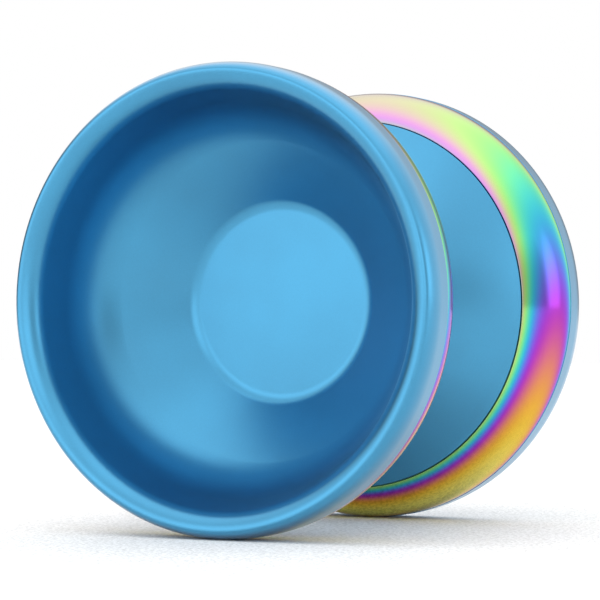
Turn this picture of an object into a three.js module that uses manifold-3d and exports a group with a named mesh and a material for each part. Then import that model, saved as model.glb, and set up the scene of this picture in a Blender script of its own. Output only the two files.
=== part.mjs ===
// A two-metal competition yo-yo: two turned aluminium halves with a steel weight ring pressed on the
// string side of each rim, screwed together on one set screw, with a shielded ball bearing between them
// for the string. Millimetres, +Z up. The spin axis is Y, and the origin is its middle, in the centre of
// the string gap. Every outline below is a list of corners [radius, height along the axis, fillet], for
// the half on the +Y side.
import * as THREE from "three";
import { mergeVertices } from "three/addons/utils/BufferGeometryUtils.js";
import Module from "manifold-3d";

const wasm = await Module();
wasm.setup();

// ---------- driving dimensions ----------
const RIM_RADIUS = 28;
const HALF_WIDTH = 24;
const FIT_GAP = 0.05; // between pieces that touch
const THIN_FIT_GAP = 0.03; // beside the bearing's thin pieces

const GAP_HALF = 2.2; // response wall to the middle plane
const FLANK_START = 10.1; // radius where the catch zone begins to open
const FLANK_CORNER_RADIUS = 16.17; // where its first and last slopes would meet without their curve
const FLANK_CORNER_HEIGHT = 8.56;
const FLANK_CURVE = 60;

const RING_INNER_RADIUS = 23.8;
const RING_INNER_HEIGHT = 13;
const RING_OUTER_HEIGHT = 19.5;
const RING_SLOPE = THREE.MathUtils.degToRad(42);
const RING_CROWN = 5.6;
const RING_SEAT_RADIUS = 26.7;
const RING_SEAT_HEIGHT = 17;
const RING_NOSE_DEPTH = 1.1;

const HUB_HEIGHT = 6.5; // flat floor in the middle of the cup
const HUB_RADIUS = 12;
const HUB_FILLET = 2.25;
const CUP_CORNER_RADIUS = 22.51; // where the cup's cone and its steep wall would meet without their curve
const CUP_CORNER_HEIGHT = 14.56;
const CUP_CURVE = 11.5;
const LIP_OUTER_REACH = 1.08; // the lip's nose is a quarter ellipse on each side of its crest: its reach
const LIP_OUTER_DEPTH = 2.6; // along the radius, and its depth along the axis
const LIP_INNER_REACH = 2.45;
const LIP_INNER_DEPTH = 3.16;
const LIP_INNER_TURN = THREE.MathUtils.degToRad(69.7); // how far round its ellipse the wall begins

const PAD_INNER_RADIUS = 7.2;
const PAD_OUTER_RADIUS = 9.7;
const PAD_GROOVE_FLOOR = 3.25;

const AXLE_RADIUS = 1.95;
const AXLE_LENGTH = 8;
const AXLE_CHAMFER = 0.35;
const SOCKET_ACROSS_FLATS = 2;
const SOCKET_DEPTH = 2.2;
const TAP_RADIUS = 2.03;
const TAP_DEPTH = 4.5;
const TAP_POINT = 5.7;
const TAP_CHAMFER = 0.25;

const BORE_RADIUS = 3.175;
const BEARING_RADIUS = 6.35;
const BEARING_HALF_WIDTH = 2.381;
const BEARING_RECESS_RADIUS = 6.75;
const BEARING_RECESS_DEPTH = 0.24;
const SHOULDER_RADIUS = 4.15; // the step that the inner race sits on
const SHOULDER_GAP = 0.04;
const POST_FACE = 0.3;
const POST_CHAMFER = 0.2;

const BALL_COUNT = 10;
const BALL_RADIUS = 0.78;
const BALL_PITCH_RADIUS = 4.7625;
const TRACK_RADIUS = 0.85;
const INNER_LAND_RADIUS = 4.2;
const OUTER_LAND_RADIUS = 5.32;
const RACE_CHAMFER = 0.15;
const SHIELD_SEAT_RADIUS = 5.75;
const SHIELD_SEAT_HEIGHT = 1.82;
const SHIELD_THICKNESS = 0.2;
const SHIELD_BORE_GAP = 0.15;
const SNAP_GROOVE_RADIUS = 5.92;
const SNAP_GROOVE_START = 2.08;
const SNAP_GROOVE_END = 2.3;
const SNAP_RING_WIDTH = 0.5;
const SNAP_RING_OPENING = THREE.MathUtils.degToRad(24);
const CAGE_INNER_RADIUS = 4.45;
const CAGE_OUTER_RADIUS = 5.08;
const CAGE_OPEN_END = -0.4;
const CAGE_BACK_END = 1.35;
const CAGE_POCKET_GAP = 0.09;

const RIM_SEGMENTS = 40;
const HUB_SEGMENTS = 32;
const CAGE_SEGMENTS = 4 * BALL_COUNT;
const BALL_SEGMENTS = 10;
const BALL_RINGS = 8;
const TRACK_STEPS = 4;
const LIP_STEPS = 5;
const CHORD_HEIGHT = 0.04; // how far a chord may lie from the curve it stands for
const MERGE_DISTANCE = 1e-4;

// ---------- materials ----------
function finish(color, metalness, roughness) {
  return new THREE.MeshStandardMaterial({ color, metalness, roughness });
}

const anodised = finish(0x2f93cf, 1, 0.42);
const rainbowSteel = finish(0xd8a23c, 1, 0.14);
const steel = finish(0xc4c6ca, 1, 0.22);
const silicone = finish(0xf0f1ee, 0, 0.55);
const nylon = finish(0xe4dfd0, 0, 0.5);

// ---------- shape helpers ----------
// The points of a path through corners, with each corner's fillet as an arc of short chords.
function rounded(corners) {
  const points = [];
  corners.forEach(([radius, height, fillet = 0], i) => {
    const corner = new THREE.Vector2(radius, height);
    if (!fillet) {
      points.push(corner);
      return;
    }
    const before = new THREE.Vector2(...corners[i - 1].slice(0, 2)).sub(corner).normalize();
    const after = new THREE.Vector2(...corners[i + 1].slice(0, 2)).sub(corner).normalize();
    const half = Math.acos(before.dot(after)) / 2;
    const turn = Math.PI - 2 * half;
    const centre = before.clone().add(after).normalize().multiplyScalar(fillet / Math.sin(half)).add(corner);
    const first = before.clone().multiplyScalar(fillet / Math.tan(half)).add(corner).sub(centre);
    const side = Math.sign(before.x * after.y - before.y * after.x);
    const chords = Math.ceil(turn / (2 * Math.acos(1 - CHORD_HEIGHT / fillet)));
    for (let k = 0; k <= chords; k++) {
      points.push(first.clone().rotateAround(new THREE.Vector2(), (-side * turn * k) / chords).add(centre));
    }
  });
  return points;
}

// The corners of a ring with a plain oblong section.
function ringSection(inner, outer, low, high) {
  return [
    [inner, low],
    [outer, low],
    [outer, high],
    [inner, high],
    [inner, low],
  ];
}

// A solid of revolution about Y, turned so that a flat, not an edge, faces straight down.
function turned(name, corners, segments, material) {
  const geometry = new THREE.LatheGeometry(rounded(corners), segments, Math.PI / segments);
  return named(name, geometry, material);
}

function named(name, geometry, material) {
  const mesh = new THREE.Mesh(geometry, material);
  mesh.name = name;
  return mesh;
}

// A geometry as a solid that can be joined and cut, and back again.
function solidOf(geometry) {
  const bare = geometry.index ? geometry.toNonIndexed() : geometry.clone();
  bare.deleteAttribute("normal");
  bare.deleteAttribute("uv");
  const merged = mergeVertices(bare, MERGE_DISTANCE);
  return new wasm.Manifold(
    new wasm.Mesh({
      numProp: 3,
      vertProperties: merged.attributes.position.array,
      triVerts: new Uint32Array(merged.index.array),
    }),
  );
}

function geometryOf(solid) {
  const mesh = solid.getMesh();
  const geometry = new THREE.BufferGeometry();
  geometry.setAttribute("position", new THREE.BufferAttribute(mesh.vertProperties, 3));
  geometry.setIndex(new THREE.BufferAttribute(mesh.triVerts, 1));
  return geometry;
}

// ---------- the two halves ----------
// The lip, from the rim's outside over its crest to where the cup's wall begins.
function lipCorners() {
  const crest = RIM_RADIUS - LIP_OUTER_REACH;
  const outer = [];
  const inner = [];
  for (let k = 0; k <= LIP_STEPS; k++) {
    const rise = ((k / LIP_STEPS) * Math.PI) / 2;
    const fall = ((k + 1) / (LIP_STEPS + 1)) * LIP_INNER_TURN;
    outer.push([
      crest + LIP_OUTER_REACH * Math.cos(rise),
      HALF_WIDTH - LIP_OUTER_DEPTH * (1 - Math.sin(rise)),
    ]);
    inner.push([
      crest - LIP_INNER_REACH * Math.sin(fall),
      HALF_WIDTH - LIP_INNER_DEPTH * (1 - Math.cos(fall)),
    ]);
  }
  return [...outer, ...inner];
}

// A half's body: threaded hole, bearing post, response groove, flank, ring seat, rim, lip, cup and floor.
function halfBody(name) {
  const shoulder = BEARING_HALF_WIDTH + SHOULDER_GAP;
  const recess = BEARING_HALF_WIDTH + BEARING_RECESS_DEPTH;
  const postRadius = BORE_RADIUS - FIT_GAP;
  const seatInner = RING_INNER_RADIUS - FIT_GAP;
  const seatOuter = RING_SEAT_RADIUS - FIT_GAP;
  const corners = [
    [0, TAP_POINT],
    [TAP_RADIUS, TAP_DEPTH],
    [TAP_RADIUS, POST_FACE + TAP_CHAMFER],
    [TAP_RADIUS + TAP_CHAMFER, POST_FACE],
    [postRadius - POST_CHAMFER, POST_FACE],
    [postRadius, POST_FACE + POST_CHAMFER],
    [postRadius, shoulder],
    [SHOULDER_RADIUS, shoulder],
    [SHOULDER_RADIUS, recess],
    [BEARING_RECESS_RADIUS, recess],
    [BEARING_RECESS_RADIUS, GAP_HALF],
    [PAD_INNER_RADIUS, GAP_HALF],
    [PAD_INNER_RADIUS, PAD_GROOVE_FLOOR],
    [PAD_OUTER_RADIUS, PAD_GROOVE_FLOOR],
    [PAD_OUTER_RADIUS, GAP_HALF],
    [FLANK_START, GAP_HALF],
    [FLANK_CORNER_RADIUS, FLANK_CORNER_HEIGHT, FLANK_CURVE],
    [seatInner, RING_INNER_HEIGHT],
    [seatInner, RING_INNER_HEIGHT + RING_NOSE_DEPTH],
    [seatOuter, RING_SEAT_HEIGHT],
    [seatOuter, RING_OUTER_HEIGHT + FIT_GAP],
    [RIM_RADIUS, RING_OUTER_HEIGHT + FIT_GAP],
    ...lipCorners(),
    [CUP_CORNER_RADIUS, CUP_CORNER_HEIGHT, CUP_CURVE],
    [HUB_RADIUS, HUB_HEIGHT, HUB_FILLET],
    [0, HUB_HEIGHT],
  ];
  return turned(name, corners, RIM_SEGMENTS, anodised);
}

// The steel ring: a crowned outside, and inside a nose, a cone and a cylinder that sit on the body's seat.
function weightRing(name) {
  const crownHeight = RING_INNER_HEIGHT + (RIM_RADIUS - FIT_GAP - RING_INNER_RADIUS) * Math.tan(RING_SLOPE);
  const corners = [
    [RING_INNER_RADIUS, RING_INNER_HEIGHT + RING_NOSE_DEPTH - FIT_GAP],
    [RING_INNER_RADIUS, RING_INNER_HEIGHT],
    [RIM_RADIUS - FIT_GAP, crownHeight, RING_CROWN],
    [RIM_RADIUS - FIT_GAP, RING_OUTER_HEIGHT],
    [RING_SEAT_RADIUS, RING_OUTER_HEIGHT],
    [RING_SEAT_RADIUS, RING_SEAT_HEIGHT - FIT_GAP],
    [RING_INNER_RADIUS, RING_INNER_HEIGHT + RING_NOSE_DEPTH - FIT_GAP],
  ];
  return turned(name, corners, RIM_SEGMENTS, rainbowSteel);
}

function responsePad(name) {
  const inner = PAD_INNER_RADIUS + FIT_GAP;
  const outer = PAD_OUTER_RADIUS - FIT_GAP;
  const corners = ringSection(inner, outer, GAP_HALF + FIT_GAP, PAD_GROOVE_FLOOR - FIT_GAP);
  return turned(name, corners, HUB_SEGMENTS, silicone);
}

function half(letter) {
  const group = new THREE.Group();
  group.add(halfBody(`half_body_${letter}`));
  group.add(weightRing(`weight_ring_${letter}`));
  group.add(responsePad(`response_pad_${letter}`));
  return group;
}

// ---------- the axle ----------
// A headless set screw with a hex socket in its +Y end.
function axleSetScrew() {
  const end = AXLE_LENGTH / 2;
  const corners = [
    [0, -end],
    [AXLE_RADIUS - AXLE_CHAMFER, -end],
    [AXLE_RADIUS, AXLE_CHAMFER - end],
    [AXLE_RADIUS, end - AXLE_CHAMFER],
    [AXLE_RADIUS - AXLE_CHAMFER, end],
    [0, end],
  ];
  const rod = new THREE.LatheGeometry(rounded(corners), HUB_SEGMENTS, Math.PI / HUB_SEGMENTS);
  const socketRadius = SOCKET_ACROSS_FLATS / Math.sqrt(3);
  const socket = new THREE.CylinderGeometry(socketRadius, socketRadius, 2 * SOCKET_DEPTH, 6);
  socket.translate(0, end, 0);
  return named("axle_set_screw", geometryOf(solidOf(rod).subtract(solidOf(socket))), steel);
}

// ---------- the bearing ----------
// A ball track's groove at a given radius: corners on the land, then an arc about the balls' pitch circle.
function track(landRadius, side) {
  const rise = Math.abs(BALL_PITCH_RADIUS - landRadius);
  const reach = Math.acos(rise / TRACK_RADIUS);
  return Array.from({ length: TRACK_STEPS + 1 }, (_, k) => {
    const angle = reach * ((2 * k) / TRACK_STEPS - 1);
    return [BALL_PITCH_RADIUS + side * TRACK_RADIUS * Math.cos(angle), TRACK_RADIUS * Math.sin(angle)];
  });
}

function innerRace() {
  const end = BEARING_HALF_WIDTH;
  const endLand = INNER_LAND_RADIUS - RACE_CHAMFER;
  const corners = [
    [BORE_RADIUS, -end],
    [endLand, -end],
    [INNER_LAND_RADIUS, RACE_CHAMFER - end],
    ...track(INNER_LAND_RADIUS, -1),
    [INNER_LAND_RADIUS, end - RACE_CHAMFER],
    [endLand, end],
    [BORE_RADIUS, end],
    [BORE_RADIUS, -end],
  ];
  return turned("bearing_inner_race", corners, HUB_SEGMENTS, steel);
}

function outerRace() {
  const end = BEARING_HALF_WIDTH;
  const mouth = (sign) => [
    [SHIELD_SEAT_RADIUS, sign * end],
    [SHIELD_SEAT_RADIUS, sign * SNAP_GROOVE_END],
    [SNAP_GROOVE_RADIUS, sign * SNAP_GROOVE_END],
    [SNAP_GROOVE_RADIUS, sign * SNAP_GROOVE_START],
    [SHIELD_SEAT_RADIUS, sign * SNAP_GROOVE_START],
    [SHIELD_SEAT_RADIUS, sign * SHIELD_SEAT_HEIGHT],
    [OUTER_LAND_RADIUS, sign * SHIELD_SEAT_HEIGHT],
  ];
  const corners = [
    [BEARING_RADIUS, RACE_CHAMFER - end],
    [BEARING_RADIUS, end - RACE_CHAMFER],
    [BEARING_RADIUS - RACE_CHAMFER, end],
    ...mouth(1),
    ...track(OUTER_LAND_RADIUS, 1).reverse(),
    ...mouth(-1).reverse(),
    [BEARING_RADIUS - RACE_CHAMFER, -end],
    [BEARING_RADIUS, RACE_CHAMFER - end],
  ];
  return turned("bearing_outer_race", corners, HUB_SEGMENTS, steel);
}

// A crown cage: a ring with open pockets that the balls snap into.
function cage() {
  const corners = ringSection(CAGE_INNER_RADIUS, CAGE_OUTER_RADIUS, CAGE_OPEN_END, CAGE_BACK_END);
  let crown = solidOf(new THREE.LatheGeometry(rounded(corners), CAGE_SEGMENTS));
  for (let k = 0; k < BALL_COUNT; k++) {
    const hole = new THREE.SphereGeometry(BALL_RADIUS + CAGE_POCKET_GAP, BALL_SEGMENTS, BALL_RINGS);
    hole.translate(...ballCentre(k));
    crown = crown.subtract(solidOf(hole));
  }
  return named("bearing_cage", geometryOf(crown), nylon);
}

function ballCentre(k) {
  const angle = (2 * Math.PI * k) / BALL_COUNT;
  return [BALL_PITCH_RADIUS * Math.sin(angle), 0, BALL_PITCH_RADIUS * Math.cos(angle)];
}

function ball(k) {
  const sphere = new THREE.SphereGeometry(BALL_RADIUS, BALL_SEGMENTS, BALL_RINGS);
  const mesh = named(`bearing_ball_${k + 1}`, sphere, steel);
  mesh.position.set(...ballCentre(k));
  return mesh;
}

function shield(letter, sign) {
  const near = sign * (SHIELD_SEAT_HEIGHT + THIN_FIT_GAP);
  const far = near + sign * SHIELD_THICKNESS;
  const inner = INNER_LAND_RADIUS + SHIELD_BORE_GAP;
  const outer = SHIELD_SEAT_RADIUS - FIT_GAP;
  const corners = ringSection(inner, outer, Math.min(near, far), Math.max(near, far));
  return turned(`bearing_shield_${letter}`, corners, HUB_SEGMENTS, steel);
}

// An open spring ring in the outer race's groove that keeps the shield in.
function snapRing(letter, sign) {
  const outer = SNAP_GROOVE_RADIUS - FIT_GAP;
  const inner = outer - SNAP_RING_WIDTH;
  const from = Math.PI / 2 + SNAP_RING_OPENING / 2;
  const to = from + 2 * Math.PI - SNAP_RING_OPENING;
  const shape = new THREE.Shape();
  shape.absarc(0, 0, outer, from, to, false);
  shape.absarc(0, 0, inner, to, from, true);
  const depth = SNAP_GROOVE_END - SNAP_GROOVE_START - 2 * THIN_FIT_GAP;
  const settings = { depth, bevelEnabled: false, curveSegments: HUB_SEGMENTS };
  const geometry = new THREE.ExtrudeGeometry(shape, settings);
  geometry.translate(0, 0, -depth / 2);
  geometry.rotateX(-Math.PI / 2);
  const mesh = named(`bearing_snap_ring_${letter}`, geometry, steel);
  mesh.position.y = (sign * (SNAP_GROOVE_START + SNAP_GROOVE_END)) / 2;
  return mesh;
}

function bearing() {
  const group = new THREE.Group();
  group.add(innerRace(), outerRace(), cage());
  for (let k = 0; k < BALL_COUNT; k++) group.add(ball(k));
  group.add(shield("a", -1), shield("b", 1), snapRing("a", -1), snapRing("b", 1));
  return group;
}

// ---------- the yo-yo ----------
const yoyo = new THREE.Group();
const halfA = half("a");
halfA.rotation.z = Math.PI;
yoyo.add(halfA, half("b"), axleSetScrew(), bearing());

export default yoyo;
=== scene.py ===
# A two-metal competition yo-yo, standing on its rims on a pale sweep.
# Metres, +Z up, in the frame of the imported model: the spin axis is Y, and the origin is its middle.
import math

import bmesh
import bpy
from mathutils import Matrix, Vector


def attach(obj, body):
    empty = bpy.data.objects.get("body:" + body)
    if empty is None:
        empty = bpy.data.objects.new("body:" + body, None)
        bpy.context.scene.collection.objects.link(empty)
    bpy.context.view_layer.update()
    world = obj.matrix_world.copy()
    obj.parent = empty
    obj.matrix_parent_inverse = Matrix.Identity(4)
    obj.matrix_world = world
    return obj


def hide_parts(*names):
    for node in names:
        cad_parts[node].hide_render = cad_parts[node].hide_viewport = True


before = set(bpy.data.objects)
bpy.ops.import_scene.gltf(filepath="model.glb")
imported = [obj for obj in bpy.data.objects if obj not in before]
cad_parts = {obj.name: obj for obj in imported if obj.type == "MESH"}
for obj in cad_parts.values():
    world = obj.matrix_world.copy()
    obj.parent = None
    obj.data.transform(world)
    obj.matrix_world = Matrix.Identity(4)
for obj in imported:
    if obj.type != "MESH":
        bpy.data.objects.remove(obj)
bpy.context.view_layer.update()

# ======================================================================================================
# The camera. It stands 27 degrees to the right of the axis, a little below the object's middle, and looks
# almost level into the near half's cup and past it at the far half's ring.
# ======================================================================================================
MM = 0.001
CAMERA_PLACE = Vector((136.33, -268.83, -4.73)) * MM
CAMERA_AZIMUTH = math.radians(27.02)
CAMERA_ELEVATION = math.radians(-0.966)
LENS_MM = 144.4
SENSOR_MM = 36


def added(name, data):
    """A new object in the scene."""
    piece = bpy.data.objects.new(name, data)
    bpy.context.scene.collection.objects.link(piece)
    return piece


camera = added("camera", bpy.data.cameras.new("camera"))
camera.location = CAMERA_PLACE
camera.rotation_euler = (math.radians(90) - CAMERA_ELEVATION, 0, CAMERA_AZIMUTH)
camera.data.lens = LENS_MM
camera.data.sensor_width = SENSOR_MM
camera.data.clip_start = 10 * MM
bpy.context.scene.camera = camera

# ======================================================================================================
# The two halves. Each is turned from one bar of aluminium: lip, cup, rim with a seat for its ring, flank,
# pad groove, bearing recess, bearing post and tapped hole. It is bead-blasted, then anodised blue.
# ======================================================================================================


class Wire:
    """A socket in a node tree that can be worked with as a number: each operator adds a Math node."""

    def __init__(self, tree, socket=None):
        self.tree = tree
        self.socket = socket

    def node(self, kind, *values, out=0, stops=(), **settings):
        """A new node's output. Its settings come first, then its inputs' values and links."""
        made = self.tree.nodes.new(kind)
        inputs = dict(enumerate(values))
        for name, value in settings.items():
            if hasattr(made, name):
                setattr(made, name, value)
            else:
                inputs[name.replace("_", " ")] = value
        for number, (place, colour) in enumerate(stops):
            elements = made.color_ramp.elements
            element = elements[number] if number < len(elements) else elements.new(place)
            element.position = place
            element.color = (*colour, 1)
        for place, value in inputs.items():
            if isinstance(value, Wire):
                self.tree.links.new(value.socket, made.inputs[place])
            elif value is not None:
                made.inputs[place].default_value = value
        return Wire(self.tree, made.outputs[out] if len(made.outputs) else None)

    def other(self, out):
        """Another output of the node that this wire leaves."""
        return Wire(self.tree, self.socket.node.outputs[out])

    def math(self, operation, *values):
        return self.node("ShaderNodeMath", *values, operation=operation)

    def __add__(self, value):
        return self.math("ADD", self, value)

    def __sub__(self, value):
        return self.math("SUBTRACT", self, value)

    def __rsub__(self, value):
        return self.math("SUBTRACT", value, self)

    def __mul__(self, value):
        return self.math("MULTIPLY", self, value)

    def __truediv__(self, value):
        return self.math("DIVIDE", self, value)

    def __rtruediv__(self, value):
        return self.math("DIVIDE", value, self)

    def __pow__(self, value):
        return self.math("POWER", self, value)

    def __mod__(self, value):
        return self.math("FLOORED_MODULO", self, value)

    def __abs__(self):
        return self.math("ABSOLUTE", self)

    __radd__ = __add__
    __rmul__ = __mul__


SUPPORT = 0.12  # millimetres from a stretch's end to its first point inwards, which keeps its shading flat
LONGEST = 1.2  # the longest step between an outline's points
ARC_STEP = math.radians(6)
WELD = 1e-7


def outline(corners):
    """Points (radius, height) along a path through corners (radius, height, fillet), all in millimetres.
    A fillet becomes an arc, and each long straight stretch gets points of its own."""
    ends = []
    for i, (radius, height, *fillet) in enumerate(corners):
        corner = Vector((radius, height))
        if not fillet:
            ends.append([corner])
            continue
        before = (Vector(corners[i - 1][:2]) - corner).normalized()
        after = (Vector(corners[i + 1][:2]) - corner).normalized()
        half = math.acos(max(-1, min(1, before.dot(after)))) / 2
        turn = math.pi - 2 * half
        centre = corner + (before + after).normalized() * fillet[0] / math.sin(half)
        first = corner + before * fillet[0] / math.tan(half) - centre
        side = math.copysign(1, before.cross(after))
        chords = max(3, math.ceil(turn / ARC_STEP), math.ceil(turn * fillet[0] / LONGEST))
        arc = []
        for k in range(chords + 1):
            spin = -side * turn * k / chords
            arc.append(centre + Vector((first.x * math.cos(spin) - first.y * math.sin(spin),
                                        first.x * math.sin(spin) + first.y * math.cos(spin))))
        ends.append(arc)
    points = []
    for arc, following in zip(ends, ends[1:] + [None]):
        points += arc
        if following is None:
            continue
        start, stretch = arc[-1], following[0] - arc[-1]
        length = stretch.length
        if length > 3 * SUPPORT:
            parts = max(1, math.ceil((length - 2 * SUPPORT) / LONGEST))
            inner = length - 2 * SUPPORT
            points += [start + stretch * (SUPPORT + inner * k / parts) / length for k in range(parts + 1)]
    return points


def begun(name, **sockets):
    """A wire into a new Geometry Nodes tree, and its inputs: the named ones and a Finish."""
    tree = bpy.data.node_groups.new(name, "GeometryNodeTree")
    tree.interface.new_socket("Piece", in_out="OUTPUT", socket_type="NodeSocketGeometry")
    for socket, kind in (*sockets.items(), ("Finish", "Material")):
        tree.interface.new_socket(socket.replace("_", " "), in_out="INPUT", socket_type=f"NodeSocket{kind}")
    wire = Wire(tree)
    return wire, wire.node("NodeGroupInput")


def creased(wire, shape, angle):
    """The shape shaded smooth, apart from edges sharper than the angle."""
    smooth = wire.node("GeometryNodeSetShadeSmooth", shape, None, True)
    sharp = wire.node("FunctionNodeCompare", wire.node("GeometryNodeInputMeshEdgeAngle"), angle,
                      operation="GREATER_THAN")
    return wire.node("GeometryNodeSetShadeSmooth", smooth, sharp, False, domain="EDGE")


def ended(wire, shape, finish):
    """The tree, closed with a plain mesh in its finish."""
    real = wire.node("GeometryNodeRealizeInstances", shape)
    wire.node("NodeGroupOutput", wire.node("GeometryNodeSetMaterial", real, None, finish))
    return wire.tree


def turning_tree():
    """Geometry Nodes that turn an outline about Y, with any thread or hex socket that is marked on it."""
    wire, given = begun("turning", Outline="Geometry", Segments="Int", Thread_Pitch="Float",
                        Thread_Depth="Float", Sharp_Edge="Float")
    section, segments = given.other("Outline"), given.other("Segments")
    count = wire.node("GeometryNodeAttributeDomainSize", section, out="Point Count")
    grid = wire.node("GeometryNodeMeshGrid", 1.0, 1.0, segments + 1, count)
    index = wire.node("GeometryNodeInputIndex")
    column = wire.math("FLOOR", (index + 0.5) / count)
    row = index - column * count
    angle = column / segments * math.tau

    def sampled(kind, value):
        return wire.node("GeometryNodeSampleIndex", section, value, row, data_type=kind)

    def marked(name):
        return sampled("FLOAT", wire.node("GeometryNodeInputNamedAttribute", name, data_type="FLOAT"))

    position = sampled("FLOAT_VECTOR", wire.node("GeometryNodeInputPosition"))
    radius = wire.node("ShaderNodeSeparateXYZ", position)
    height = radius.other("Y")
    wave = abs((height / given.other("Thread Pitch") - angle / math.tau) % 1 - 0.5) * 2
    groove = wire.node("ShaderNodeClamp", wave * 1.5 - 0.25)
    threaded = radius - marked("thread") * given.other("Thread Depth") * groove
    from_flat = abs(angle % (math.pi / 3) - math.pi / 6)
    shaped = threaded * (1 + marked("hex") * (1 / wire.math("COSINE", from_flat) - 1))
    turned = wire.node("ShaderNodeCombineXYZ", shaped * wire.math("SINE", angle), height,
                       shaped * wire.math("COSINE", angle))
    moved = wire.node("GeometryNodeSetPosition", grid, None, turned)
    merged = wire.node("GeometryNodeMergeByDistance", moved, Distance=WELD)
    return ended(wire, creased(wire, merged, given.other("Sharp Edge")), given.other("Finish"))


def grown(name, data, tree, **inputs):
    """An object made plain from a Geometry Nodes tree run on its mesh, with its faces turned outwards."""
    piece = added(name, data)
    modifier = piece.modifiers.new(tree.name, "NODES")
    modifier.node_group = tree
    for item in tree.interface.items_tree:
        given = inputs.get(item.name.replace(" ", "_"))
        if item.in_out == "INPUT" and given is not None:
            modifier[item.identifier] = given
    bpy.context.view_layer.update()
    seen = piece.evaluated_get(bpy.context.evaluated_depsgraph_get())
    mesh = bpy.data.meshes.new_from_object(seen)
    piece.modifiers.remove(modifier)
    piece.data = mesh
    mesh.name = name
    shell = bmesh.new()
    shell.from_mesh(mesh)
    if shell.calc_volume(signed=True) < 0:
        bmesh.ops.reverse_faces(shell, faces=shell.faces)
        shell.to_mesh(mesh)
    shell.free()
    return piece


TURNING = turning_tree()


def turned(name, points, finish, segments=256, marks=None, pitch=1.0, depth=0.0, sharp=40):
    """A piece turned about Y from an outline's points. marks says which have the thread or the hex."""
    data = bpy.data.meshes.new(name)
    edges = [(i, i + 1) for i in range(len(points) - 1)]
    data.from_pydata([(x * MM, y * MM, 0) for x, y in points], edges, [])
    for mark in ("thread", "hex"):
        values = (marks or {}).get(mark, [0.0] * len(points))
        data.attributes.new(mark, "FLOAT", "POINT").data.foreach_set("value", values)
    return grown(name, data, TURNING, Segments=segments, Thread_Pitch=pitch * MM, Thread_Depth=depth * MM,
                 Sharp_Edge=math.radians(sharp), Finish=finish)


def material(name, metallic, roughness, **constants):
    """A new material, its shader, and a wire into its tree. Constants go on the shader's own sockets."""
    made = bpy.data.materials.new(name)
    made.use_nodes = True
    shader = made.node_tree.nodes["Principled BSDF"]
    shader.inputs["Metallic"].default_value = metallic
    shader.inputs["Roughness"].default_value = roughness
    for socket, value in constants.items():
        shader.inputs[socket.replace("_", " ")].default_value = value
    return made, shader, Wire(made.node_tree)


def feed(shader, socket, wire):
    wire.tree.links.new(wire.socket, shader.inputs[socket])


def object_place(wire):
    return wire.node("ShaderNodeTexCoord", out="Object")


def anodised_blue():
    """Dyed oxide over bead-blasted aluminium: a fine even grain, and a very slight drift of the dye."""
    made, shader, wire = material("blue anodised aluminium", 1.0, 0.3, Coat_Weight=1.0, Coat_Roughness=0.3,
                                  Coat_IOR=1.5)
    place = object_place(wire)
    drift = wire.node("ShaderNodeTexNoise", place, Scale=90.0, Detail=2.0)
    blast = wire.node("ShaderNodeTexNoise", place, Scale=5200.0, Detail=3.0, Roughness=0.6)
    colour = wire.node("ShaderNodeValToRGB", drift * 0.6 + blast * 0.4,
                       stops=((0.3, (0.026, 0.226, 0.404)), (0.7, (0.032, 0.272, 0.484))))
    feed(shader, "Base Color", colour)
    feed(shader, "Roughness", 0.26 + blast * 0.08)
    feed(shader, "Normal", wire.node("ShaderNodeBump", Strength=0.5, Distance=0.004 * MM, Height=blast))
    return made


BLUE = anodised_blue()
RIM_RADIUS = 28.0
HALF_WIDTH = 24.0
GAP_HALF = 2.2
RING_INNER = (23.75, 13.0)
RING_SEAT = (26.65, 17.0)
RING_TOP = 19.55
RING_NOSE = 1.1
TAP_RADIUS, TAP_DEPTH, TAP_POINT = 2.03, 4.5, 5.7
TAP_CHAMFER = 0.25
POST_RADIUS, POST_FACE, POST_EDGE = 3.125, 0.3, 0.2
SHOULDER_RADIUS, SHOULDER_HEIGHT = 4.15, 2.42
RECESS_RADIUS, RECESS_HEIGHT = 6.75, 2.62
PAD_GROOVE_INNER, PAD_GROOVE_OUTER, PAD_GROOVE_FLOOR = 7.2, 9.7, 3.25
FLANK_START = 10.1
FLANK_CORNER = (16.17, 8.56, 56)  # each of these three is a radius, a height and a rounding radius
CUP_CORNER = (22.51, 14.56, 11.5)
HUB_CORNER = (12.0, 6.5, 2.25)
SHARP_EDGE, CRISP_EDGE, FINE_EDGE = 0.05, 0.06, 0.08  # the radii that break the corners
SOFT_EDGE, RECESS_EDGE, SEAT_EDGE = 0.1, 0.12, 0.2
LIP_OUTER = (1.08, 2.6)  # the lip's reach along the radius and its depth along the axis, outside its crest
LIP_INNER = (2.45, 3.16)
LIP_TURN = math.radians(69.7)  # how far round the inner ellipse the cup's wall begins
LIP_STEPS = 16


def lip_nose():
    """The lip: a quarter ellipse from the rim to its crest, and most of another down to the cup's wall."""
    crest = RIM_RADIUS - LIP_OUTER[0]
    points = []
    reach, depth = LIP_OUTER
    for k in range(LIP_STEPS + 1):
        rise = math.pi / 2 * k / LIP_STEPS
        points.append((crest + reach * math.cos(rise), HALF_WIDTH - depth * (1 - math.sin(rise))))
    reach, depth = LIP_INNER
    for k in range(LIP_STEPS):
        fall = LIP_TURN * (k + 1) / LIP_STEPS
        points.append((crest - reach * math.sin(fall), HALF_WIDTH - depth * (1 - math.cos(fall))))
    return points


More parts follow.
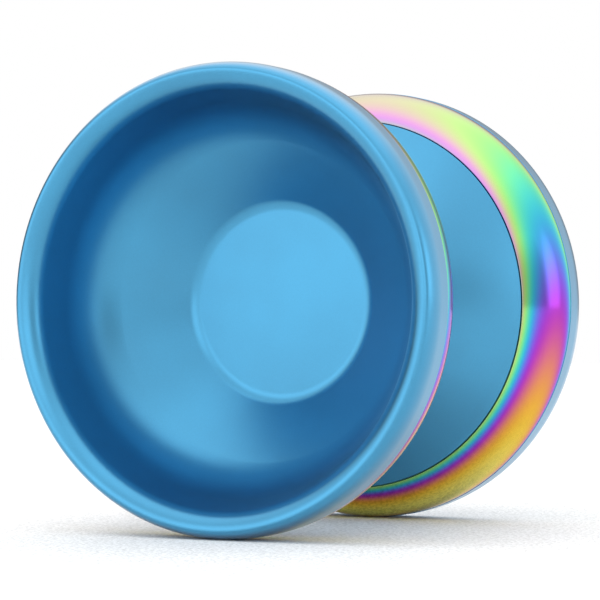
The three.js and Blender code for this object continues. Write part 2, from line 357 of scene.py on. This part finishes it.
def half_outline():
    """From the tapped hole's point out over the string side, round the lip and down the cup to its floor."""
    return outline((
        (0, TAP_POINT),
        (TAP_RADIUS, TAP_DEPTH),
        (TAP_RADIUS, POST_FACE + TAP_CHAMFER),
        (TAP_RADIUS + TAP_CHAMFER, POST_FACE),
        (POST_RADIUS, POST_FACE, POST_EDGE),
        (POST_RADIUS, SHOULDER_HEIGHT, FINE_EDGE),
        (SHOULDER_RADIUS, SHOULDER_HEIGHT, SHARP_EDGE),
        (SHOULDER_RADIUS, RECESS_HEIGHT, SHARP_EDGE),
        (RECESS_RADIUS, RECESS_HEIGHT, SOFT_EDGE),
        (RECESS_RADIUS, GAP_HALF, RECESS_EDGE),
        (PAD_GROOVE_INNER, GAP_HALF, CRISP_EDGE),
        (PAD_GROOVE_INNER, PAD_GROOVE_FLOOR, SOFT_EDGE),
        (PAD_GROOVE_OUTER, PAD_GROOVE_FLOOR, SOFT_EDGE),
        (PAD_GROOVE_OUTER, GAP_HALF, CRISP_EDGE),
        (FLANK_START, GAP_HALF, SOFT_EDGE),
        FLANK_CORNER,
        (*RING_INNER, CRISP_EDGE),
        (RING_INNER[0], RING_INNER[1] + RING_NOSE, SEAT_EDGE),
        (*RING_SEAT, SEAT_EDGE),
        (RING_SEAT[0], RING_TOP, SOFT_EDGE),
        (RIM_RADIUS, RING_TOP, FINE_EDGE),
        *lip_nose(),
        CUP_CORNER,
        HUB_CORNER,
        (0, HUB_CORNER[1]),
    ))


def mirrored(points, side):
    """An outline for the half on the given side of the string gap."""
    return [(x, side * y) for x, y in points]


for letter, side in (("a", -1), ("b", 1)):
    body = turned(f"half_{letter}_turned_body", mirrored(half_outline(), side), BLUE)
    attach(body, f"half_{letter}")
    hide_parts(f"half_body_{letter}")

# ======================================================================================================
# The weight rings. Each is polished stainless steel, pressed onto the string side of its rim, with a thin
# interference coating whose thickness drifts round the ring, so that it shows a rainbow.
# ======================================================================================================
FILM_WAVES = (655.4, 551.6, 457.8)  # nanometres of red, green and blue light
FILM_MIDDLE = (0.342, 0.383, 0.378)
FILM_SWING = (0.432, 0.415, 0.355)
FILM_FOOT, FILM_RISE = 609, 613  # nanometres of path at the ring's foot, and how much more at its crown
FILM_EDGE, FILM_EDGE_FAR = 503, 3514  # how fast the path grows from the thinnest line to both edges
FILM_EDGE_LOSS = 0.24
FILM_LINE, FILM_LINE_DRIFT = 0.594, 0.072  # where across the width the thinnest line lies, foot to crown
FILM_FADE = 1200


def rainbow_steel():
    """Polished steel under a clear film. The film grows from the ring's foot to its crown and from the
    middle of its width to both edges, and each colour comes and goes with the light's path through it."""
    made, shader, wire = material("rainbow coated steel", 1.0, 0.12)
    place = object_place(wire)
    axes = wire.node("ShaderNodeSeparateXYZ", place)
    across, along, upward = axes, abs(axes.other("Y")), axes.other("Z")
    radius = (across * across + upward * upward) ** 0.5
    height = 0.5 + 0.5 * (upward / radius)
    width = (along / MM - RING_INNER[1]) / (RING_TOP - RING_INNER[1])
    off = width - FILM_LINE + FILM_LINE_DRIFT * height
    square = off * off
    edges = square * (FILM_EDGE + FILM_EDGE_FAR * square) * (1 - FILM_EDGE_LOSS * height)
    path = FILM_FOOT + FILM_RISE * height ** 1.5 + edges
    fade = wire.math("MAXIMUM", 1.5 - path / FILM_FADE, 0.2)
    bands = []
    for wave, middle, swing in zip(FILM_WAVES, FILM_MIDDLE, FILM_SWING):
        beat = fade * wire.math("COSINE", path * (math.tau / wave))
        bands.append(wire.node("ShaderNodeClamp", middle + swing * beat))
    feed(shader, "Base Color", wire.node("ShaderNodeCombineColor", *bands))
    return made


RAINBOW = rainbow_steel()
RING_SLOPE = math.radians(42)
RING_CROWN = 5.6
FIT_GAP = 0.05


def ring_outline():
    """The crowned outside from the nose to the top, and back down the bore and the cone on the seat."""
    inner, bore = RING_INNER[0] + FIT_GAP, RING_SEAT[0] + FIT_GAP
    outer, top = RIM_RADIUS - FIT_GAP, RING_TOP - FIT_GAP
    crown = RING_INNER[1] + (outer - inner) * math.tan(RING_SLOPE)
    nose = (inner, RING_INNER[1] + RING_NOSE - FIT_GAP)
    return outline((
        nose,
        (inner, RING_INNER[1], SOFT_EDGE),
        (outer, crown, RING_CROWN),
        (outer, top, FINE_EDGE),
        (bore, top, FINE_EDGE),
        (bore, RING_SEAT[1] - FIT_GAP),
        nose,
    ))


for letter, side in (("a", -1), ("b", 1)):
    ring = turned(f"half_{letter}_rainbow_ring", mirrored(ring_outline(), side), RAINBOW)
    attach(ring, f"half_{letter}")
    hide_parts(f"weight_ring_{letter}")

# ======================================================================================================
# The response pads. Each is a soft silicone ring, glued into its half's groove, that grips the string when
# it is pulled tight. Pad b rides on the body that only slides, because a plain ring's turn doesn't show.
# ======================================================================================================
PAD_INNER, PAD_OUTER, PAD_BACK = 7.25, 9.65, 3.2
PAD_EDGE = 0.14


def ring_section(inner, outer, low, high, edge):
    """The closed outline of a ring with an oblong section and rounded corners."""
    middle = (low + high) / 2
    return outline(((inner, middle), (inner, low, edge), (outer, low, edge), (outer, high, edge),
                    (inner, high, edge), (inner, middle)))


def silicone():
    """Milky silicone with a matt moulded face, a little greyer where the string has rubbed it."""
    made, shader, wire = material("response silicone", 0.0, 0.5, Subsurface_Weight=0.2,
                                  Subsurface_Scale=0.6 * MM)
    place = object_place(wire)
    cloud = wire.node("ShaderNodeTexNoise", place, Scale=420.0, Detail=3.0)
    skin = wire.node("ShaderNodeTexNoise", place, Scale=4200.0, Detail=2.0)
    feed(shader, "Base Color", wire.node("ShaderNodeValToRGB", cloud,
                                         stops=((0.3, (0.70, 0.71, 0.70)), (0.65, (0.86, 0.87, 0.85)))))
    feed(shader, "Roughness", 0.42 + skin * 0.2)
    feed(shader, "Normal", wire.node("ShaderNodeBump", Strength=0.6, Distance=0.02 * MM, Height=skin))
    return made


SILICONE = silicone()
for letter, side, body in (("a", -1, "half_a"), ("b", 1, "half_b_travel")):
    section = ring_section(PAD_INNER, PAD_OUTER, GAP_HALF + FIT_GAP, PAD_BACK, PAD_EDGE)
    pad = turned(f"silicone_pad_{letter}", mirrored(section, side), SILICONE, segments=160)
    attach(pad, body)
    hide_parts(f"response_pad_{letter}")

# ======================================================================================================
# The axle. A headless M4 set screw of stainless steel, 8 mm long, joins the halves. Its thread is rolled,
# and its +Y end has a 2 mm hex socket.
# ======================================================================================================
AXLE_END = 4.0
AXLE_CREST = 1.97
AXLE_CHAMFER = 0.35
AXLE_FACE, AXLE_FACE_FALL = 1.2, 0.05  # the flat middle of the plain end, and how far its edge falls back
THREAD_PITCH = 0.7
THREAD_DEPTH = 0.32
THREAD_ROWS = 12  # rows of points to each turn
HEX_HALF = 1.0
HEX_DEPTH = 2.2
HEX_MOUTH = 0.12
HEX_ROWS = 4
HEX_LEAD_IN = 0.16
DRILL_CORNER, DRILL_POINT = 0.2, 0.45  # how far below the hex the drilled bottom's cone bends and ends


def steel(name, colour, roughness, grain, grain_depth):
    """Bare steel worked round the axis: fine rings of its finish, and a slight drift of its shine."""
    made, shader, wire = material(name, 1.0, roughness)
    place = object_place(wire)
    axes = wire.node("ShaderNodeSeparateXYZ", place)
    across, upward = axes, axes.other("Z")
    radius = (across * across + upward * upward) ** 0.5
    ring = wire.node("ShaderNodeCombineXYZ", radius, axes.other("Y"), 0.0)
    lines = wire.node("ShaderNodeTexNoise", ring, Scale=grain, Detail=3.0)
    drift = wire.node("ShaderNodeTexNoise", place, Scale=500.0, Detail=2.0)
    dark = tuple(0.86 * part for part in colour)
    feed(shader, "Base Color", wire.node("ShaderNodeValToRGB", lines * 0.5 + drift * 0.5,
                                         stops=((0.35, dark), (0.65, colour))))
    feed(shader, "Roughness", roughness + (drift - 0.5) * 0.1)
    feed(shader, "Normal", wire.node("ShaderNodeBump", Strength=0.6, Distance=grain_depth * MM, Height=lines))
    return made


def threaded_points(radius, start, end):
    """Points along a threaded stretch, close enough together for the thread's slopes."""
    count = math.ceil(abs(end - start) / THREAD_PITCH * THREAD_ROWS)
    return [(radius, start + (end - start) * k / count) for k in range(count + 1)]


socket_wall = (HEX_DEPTH - HEX_MOUTH) / HEX_ROWS
socket_rows = [(HEX_HALF, AXLE_END - HEX_MOUTH - socket_wall * k) for k in range(HEX_ROWS + 1)]
bottom = AXLE_END - HEX_DEPTH
plain_end = outline(((0, -AXLE_END), (AXLE_FACE, -AXLE_END, SOFT_EDGE),
                     (AXLE_CREST - AXLE_CHAMFER, AXLE_FACE_FALL - AXLE_END, SOFT_EDGE),
                     (AXLE_CREST, AXLE_CHAMFER - AXLE_END)))
socket_end = outline(((AXLE_CREST, AXLE_END - AXLE_CHAMFER),
                      (AXLE_CREST - AXLE_CHAMFER, AXLE_END, SOFT_EDGE),
                      (HEX_HALF + HEX_LEAD_IN, AXLE_END)))
parts = (  # each stretch's points, and whether it is threaded or six-sided
    (plain_end, 0, 0),
    (threaded_points(AXLE_CREST, AXLE_CHAMFER - AXLE_END, AXLE_END - AXLE_CHAMFER)[1:-1], 1, 0),
    (socket_end, 0, 0),
    (socket_rows, 0, 1),
    ([(HEX_HALF / 2, bottom - DRILL_CORNER), (0, bottom - DRILL_POINT)], 0, 0),
)
axle_points = [point for points, _, _ in parts for point in points]
axle_marks = {
    "thread": [float(threaded) for points, threaded, _ in parts for _ in points],
    "hex": [float(hexed) for points, _, hexed in parts for _ in points],
}
AXLE_STEEL = steel("stainless set screw", (0.56, 0.56, 0.57), 0.28, 9000.0, 0.003)
axle = turned("threaded_axle", axle_points, AXLE_STEEL, segments=144, marks=axle_marks, pitch=THREAD_PITCH,
              depth=THREAD_DEPTH, sharp=28)
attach(axle, "half_a")
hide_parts("axle_set_screw")

# ======================================================================================================
# The bearing's races. Hardened steel, ground all over: the inner one is gripped between the halves' posts,
# and the string runs on the outer one. Each has a polished track for the balls.
# ======================================================================================================
BORE = 3.175
BEARING_RADIUS = 6.35
BEARING_END = 2.381
INNER_LAND, OUTER_LAND = 4.2, 5.32
BALL_PITCH, TRACK_RADIUS = 4.7625, 0.85
SHIELD_SEAT, SHIELD_SEAT_HEIGHT = 5.75, 1.82
SNAP_GROOVE, SNAP_START, SNAP_END = 5.92, 2.08, 2.3
RACE_EDGE, SEAT_BREAK, GROOVE_BREAK = 0.15, 0.04, 0.02
LAND_END = 0.9  # where each land's outline starts, a little outside the track
TRACK_STEPS = 20


def track(land, side):
    """The points of a ball track from one land edge to the other, about the balls' pitch circle."""
    reach = math.acos(abs(BALL_PITCH - land) / TRACK_RADIUS)
    angles = [reach * (2 * k / TRACK_STEPS - 1) for k in range(TRACK_STEPS + 1)]
    return [(BALL_PITCH + side * TRACK_RADIUS * math.cos(angle), TRACK_RADIUS * math.sin(angle))
            for angle in angles]


def inner_race_outline():
    """From one land over its end and down the bore, back over the other end, and along the track."""
    upper = outline(((INNER_LAND, LAND_END), (INNER_LAND, BEARING_END, RACE_EDGE),
                     (BORE, BEARING_END, RACE_EDGE), (BORE, 0)))
    lower = [(radius, -height) for radius, height in reversed(upper)]
    return upper[:-1] + lower + track(INNER_LAND, -1) + upper[:1]


def outer_race_outline():
    """From the middle of the outside over one end and its seats, along the track, and back over the other."""
    upper = outline((
        (BEARING_RADIUS, 0),
        (BEARING_RADIUS, BEARING_END, RACE_EDGE),
        (SHIELD_SEAT, BEARING_END, SEAT_BREAK),
        (SHIELD_SEAT, SNAP_END, GROOVE_BREAK),
        (SNAP_GROOVE, SNAP_END),
        (SNAP_GROOVE, SNAP_START),
        (SHIELD_SEAT, SNAP_START, GROOVE_BREAK),
        (SHIELD_SEAT, SHIELD_SEAT_HEIGHT),
        (OUTER_LAND, SHIELD_SEAT_HEIGHT, SEAT_BREAK),
        (OUTER_LAND, LAND_END),
    ))
    lower = [(radius, -height) for radius, height in reversed(upper)]
    return upper + track(OUTER_LAND, 1)[::-1] + lower


RACE_STEEL = steel("ground bearing steel", (0.62, 0.62, 0.63), 0.2, 14000.0, 0.0015)
for name, points, body, node in (
        ("inner_race", inner_race_outline(), "half_a", "bearing_inner_race"),
        ("outer_race", outer_race_outline(), "bearing_outer", "bearing_outer_race")):
    race = turned(name, points, RACE_STEEL, segments=192)
    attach(race, body)
    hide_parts(node)

# ======================================================================================================
# The shields and snap rings. Each shield is a pressed stainless disc that keeps dirt out, and its rim is
# held in the outer race by an open ring of spring wire. The rings' ends are a little apart, underneath.
# ======================================================================================================
SHIELD_INNER, SHIELD_OUTER, SHIELD_THICKNESS = 4.35, 5.69, 0.18
SHIELD_STEP = (4.78, 4.92)
SHIELD_GAP, SHIELD_SINK = 0.03, 0.03
SNAP_INNER, SNAP_OUTER, SNAP_WIRE = 5.4, 5.86, 0.15
SNAP_OPENING = math.radians(24)
SNAP_STEPS = 160


def shield_outline():
    """A flat rim, a shallow step and a slightly sunk middle. The back is flat."""
    back = SHIELD_SEAT_HEIGHT + SHIELD_GAP
    front = back + SHIELD_THICKNESS
    inner, outer = SHIELD_STEP
    shown = outline(((SHIELD_INNER, front - SHIELD_SINK), (inner, front - SHIELD_SINK, SOFT_EDGE),
                     (outer, front, SOFT_EDGE), (SHIELD_OUTER, front)))
    hidden = outline(((SHIELD_OUTER, back), (SHIELD_INNER, back)))
    return shown + hidden + shown[:1]


def snap_ring_tree():
    """Geometry Nodes that sweep a flat wire section along an open arc about Y."""
    wire, given = begun("snap ring", Radius="Float", Opening="Float", Width="Float", Thickness="Float",
                        Height="Float")
    opening = given.other("Opening")
    arc = wire.node("GeometryNodeCurveArc", Resolution=SNAP_STEPS, Radius=given.other("Radius"),
                    Start_Angle=opening * 0.5 - math.pi / 2, Sweep_Angle=math.tau - opening)
    section = wire.node("GeometryNodeCurvePrimitiveQuadrilateral", Width=given.other("Width"),
                        Height=given.other("Thickness"))
    soft = wire.node("GeometryNodeFilletCurve", section, Radius=given.other("Thickness") * 0.3, Count=3,
                     mode="POLY")
    swept = wire.node("GeometryNodeCurveToMesh", arc, soft, Fill_Caps=True)
    stood = wire.node("GeometryNodeTransform", swept, Rotation=(math.radians(90), 0, 0),
                      Translation=wire.node("ShaderNodeCombineXYZ", 0.0, given.other("Height"), 0.0))
    return ended(wire, stood, given.other("Finish"))


SNAP_RING = snap_ring_tree()
SHIELD_STEEL = steel("pressed stainless", (0.60, 0.60, 0.60), 0.26, 7000.0, 0.002)
SPRING_STEEL = steel("spring wire", (0.42, 0.42, 0.43), 0.3, 5000.0, 0.002)
for letter, side in (("a", -1), ("b", 1)):
    shield = turned(f"pressed_shield_{letter}", mirrored(shield_outline(), side), SHIELD_STEEL, segments=160)
    wire_ring = grown(f"snap_wire_{letter}", bpy.data.meshes.new("wire"), SNAP_RING,
                      Radius=(SNAP_OUTER + SNAP_INNER) / 2 * MM, Opening=SNAP_OPENING,
                      Width=(SNAP_OUTER - SNAP_INNER) * MM, Thickness=SNAP_WIRE * MM,
                      Height=side * (SNAP_START + SNAP_END) / 2 * MM, Finish=SPRING_STEEL)
    for piece, node in ((shield, f"bearing_shield_{letter}"), (wire_ring, f"bearing_snap_ring_{letter}")):
        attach(piece, "bearing_outer")
        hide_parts(node)

# ======================================================================================================
# The cage and balls. The cage is a crown of natural nylon, moulded in one piece, that the ten polished steel
# balls snap into. It keeps them evenly apart as they roll round.
# ======================================================================================================
BALLS = 10
BALL_RADIUS = 0.78
POCKET_RADIUS = 0.86
CAGE_INNER, CAGE_OUTER = 4.46, 5.07
CAGE_OPEN, CAGE_BACK = -0.4, 1.34
CAGE_SEGMENTS = 120
NOTCH_RADIUS, NOTCH_HEIGHT = 0.5, -0.5
CUTTER_STEPS = (32, 20)
CROWN_CREASE = math.radians(35)
BALL_DIVISIONS = 14


def crown_tree():
    """Geometry Nodes that cut a ring of pockets, and a notch between each two, out of a turned ring."""
    wire, given = begun("crown cage", Ring="Geometry", Pockets="Int", Pitch_Radius="Float",
                        Pocket_Radius="Float", Notch_Radius="Float", Notch_Height="Float")
    pockets, pitch = given.other("Pockets"), given.other("Pitch Radius")
    turn = wire.node("GeometryNodeInputIndex") / pockets * math.tau

    def cutters(radius, offset, height):
        angle = turn + offset / pockets
        place = wire.node("ShaderNodeCombineXYZ", pitch * wire.math("SINE", angle), height,
                          pitch * wire.math("COSINE", angle))
        points = wire.node("GeometryNodePoints", pockets, place)
        ball = wire.node("GeometryNodeMeshUVSphere", *CUTTER_STEPS, radius)
        placed = wire.node("GeometryNodeInstanceOnPoints", points, None, ball)
        return wire.node("GeometryNodeRealizeInstances", placed)

    def cut(solid, cutter):
        made = wire.node("GeometryNodeMeshBoolean", solid, operation="DIFFERENCE", solver="MANIFOLD")
        wire.tree.links.new(cutter.socket, made.socket.node.inputs["Mesh 2"])
        return made

    holed = cut(given.other("Ring"), cutters(given.other("Pocket Radius"), 0.0, 0.0))
    notched = cut(holed, cutters(given.other("Notch Radius"), math.pi, given.other("Notch Height")))
    return ended(wire, creased(wire, notched, CROWN_CREASE), given.other("Finish"))


def nylon():
    """Unfilled nylon: warm white, slightly clear, with faint flow marks."""
    made, shader, wire = material("natural nylon", 0.0, 0.42, Subsurface_Weight=0.25,
                                  Subsurface_Scale=0.5 * MM)
    flow = wire.node("ShaderNodeTexNoise", object_place(wire), Scale=900.0, Detail=3.0, Distortion=1.5)
    feed(shader, "Base Color", wire.node("ShaderNodeValToRGB", flow,
                                         stops=((0.3, (0.74, 0.69, 0.57)), (0.7, (0.84, 0.80, 0.69)))))
    feed(shader, "Roughness", 0.36 + flow * 0.14)
    feed(shader, "Normal", wire.node("ShaderNodeBump", Strength=0.4, Distance=0.01 * MM, Height=flow))
    return made


NYLON = nylon()
blank_section = ring_section(CAGE_INNER, CAGE_OUTER, CAGE_OPEN, CAGE_BACK, CRISP_EDGE)
blank = turned("cage_blank", blank_section, NYLON, segments=CAGE_SEGMENTS)
blank_mesh = blank.data
bpy.data.objects.remove(blank)
cage = grown("crown_cage", blank_mesh, crown_tree(), Pockets=BALLS, Pitch_Radius=BALL_PITCH * MM,
             Pocket_Radius=POCKET_RADIUS * MM, Notch_Radius=NOTCH_RADIUS * MM,
             Notch_Height=NOTCH_HEIGHT * MM, Finish=NYLON)
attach(cage, "bearing_cage")
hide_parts("bearing_cage")


def ball_tree():
    """Geometry Nodes that swell an evenly divided cube into a ball."""
    wire, given = begun("bearing ball", Radius="Float", Centre="Vector", Divisions="Int")
    count = given.other("Divisions")
    cube = wire.node("GeometryNodeMeshCube", (2.0, 2.0, 2.0), count, count, count)
    position = wire.node("GeometryNodeInputPosition")
    outward = wire.node("ShaderNodeVectorMath", position, operation="NORMALIZE")
    sized = wire.node("ShaderNodeVectorMath", outward, operation="SCALE", Scale=given.other("Radius"))
    placed = wire.node("ShaderNodeVectorMath", sized, given.other("Centre"), operation="ADD")
    moved = wire.node("GeometryNodeSetPosition", cube, None, placed)
    return ended(wire, wire.node("GeometryNodeSetShadeSmooth", moved, None, True), given.other("Finish"))


BALL = ball_tree()
BALL_STEEL = steel("polished ball steel", (0.66, 0.66, 0.67), 0.08, 20000.0, 0.0004)
for k in range(BALLS):
    turn = math.tau * k / BALLS
    centre = (BALL_PITCH * MM * math.sin(turn), 0, BALL_PITCH * MM * math.cos(turn))
    ball = grown(f"polished_ball_{k + 1}", bpy.data.meshes.new("ball"), BALL, Radius=BALL_RADIUS * MM,
                 Centre=centre, Divisions=BALL_DIVISIONS, Finish=BALL_STEEL)
    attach(ball, f"ball_{k + 1}")
    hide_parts(f"bearing_ball_{k + 1}")

# ======================================================================================================
# The floor. A wide sheet of white vinyl with a fine leather grain lies under both rims. It is so brightly
# lit that its grain only shows where the object shades it.
# ======================================================================================================
FLOOR_SIZE = 4.0


def sweep_finish():
    """White vinyl whose fine grain is both a slight change of shade and a slight relief."""
    made, shader, wire = material("pale sweep", 0.0, 0.6)
    grain = wire.node("ShaderNodeTexNoise", object_place(wire), Scale=2400.0, Detail=2.0, Roughness=0.7)
    feed(shader, "Base Color", wire.node("ShaderNodeValToRGB", grain,
                                         stops=((0.38, (0.66, 0.66, 0.65)), (0.58, (0.96, 0.96, 0.96)))))
    feed(shader, "Normal", wire.node("ShaderNodeBump", Strength=0.8, Distance=0.1 * MM, Height=grain))
    return made


floor_mesh = bpy.data.meshes.new("floor")
reach = FLOOR_SIZE / 2
floor_corners = [(x, y, -RIM_RADIUS * MM) for x, y in ((-reach, -reach), (reach, -reach), (reach, reach),
                                                        (-reach, reach))]
floor_mesh.from_pydata(floor_corners, [], [(0, 1, 2, 3)])
floor = added("floor", floor_mesh)
floor.data.materials.append(sweep_finish())

# ======================================================================================================
# The light. A pale room surrounds the object, with round glows where its lamps shine on the walls and darker
# flags between them, which shape the metal. One softbox lights the floor.
# ======================================================================================================
ROOM_LEVEL = 1.3
GLOWS = (  # a name, the middle's heading and height, the outer and inner radius, and what it adds
    ("key", -30, 8, 26, 6, 0.9),
    ("front panel", 20, 4, 30, 8, 0.8),
    ("right panel", 92, 6, 26, 4, 1.0),
    ("overhead", 0, 90, 60, 15, 0.5),
    ("left flag", -98, 4, 38, 10, -1.15),
    ("right flag", 57, 2, 26, 4, -0.55),
    ("back flag", -168, 4, 36, 10, -1.0),
)
WHITE = (1, 1, 1, 1)
SOFTBOX_HEADING = (-40, 60)
SOFTBOX_DISTANCE, SOFTBOX_WIDTH, SOFTBOX_WATTS = 1.0, 0.8, 1.0


def heading(azimuth, elevation):
    """The direction that lies at an angle round from the front and an angle above the floor, in degrees."""
    turn, rise = math.radians(azimuth), math.radians(elevation)
    return Vector((math.sin(turn) * math.cos(rise), -math.cos(turn) * math.cos(rise), math.sin(rise)))


def studio_surround():
    """White to the lens. Round the object it is an even room with soft round glows and dark flags in it."""
    made = bpy.data.worlds.new("studio surround")
    made.use_nodes = True
    made.node_tree.nodes.clear()
    wire = Wire(made.node_tree)
    direction = wire.node("ShaderNodeTexCoord", out="Generated")

    def towards(azimuth, elevation):
        return wire.node("ShaderNodeVectorMath", direction, tuple(heading(azimuth, elevation)),
                         operation="DOT_PRODUCT", out="Value")

    level = ROOM_LEVEL
    for _, azimuth, elevation, outer, inner, brightness in GLOWS:
        glow = wire.node("ShaderNodeMapRange", towards(azimuth, elevation), math.cos(math.radians(outer)),
                         math.cos(math.radians(inner)), interpolation_type="SMOOTHSTEP")
        level = level + brightness * glow
    seen = wire.node("ShaderNodeLightPath", out="Is Camera Ray")
    lit = wire.node("ShaderNodeBackground", WHITE, level + seen * (1.0 - level))
    wire.node("ShaderNodeOutputWorld", lit)
    return made


bpy.context.scene.world = studio_surround()

softbox_light = bpy.data.lights.new("softbox", "AREA")
softbox_light.size = SOFTBOX_WIDTH
softbox_light.energy = SOFTBOX_WATTS
softbox = added("softbox", softbox_light)
softbox.location = heading(*SOFTBOX_HEADING) * SOFTBOX_DISTANCE
softbox.rotation_euler = heading(*SOFTBOX_HEADING).to_track_quat("Z", "Y").to_euler()
softbox.visible_glossy = False  # its square edge would show as a hard patch in the polished rings

bpy.context.scene.view_settings.view_transform = "Standard"
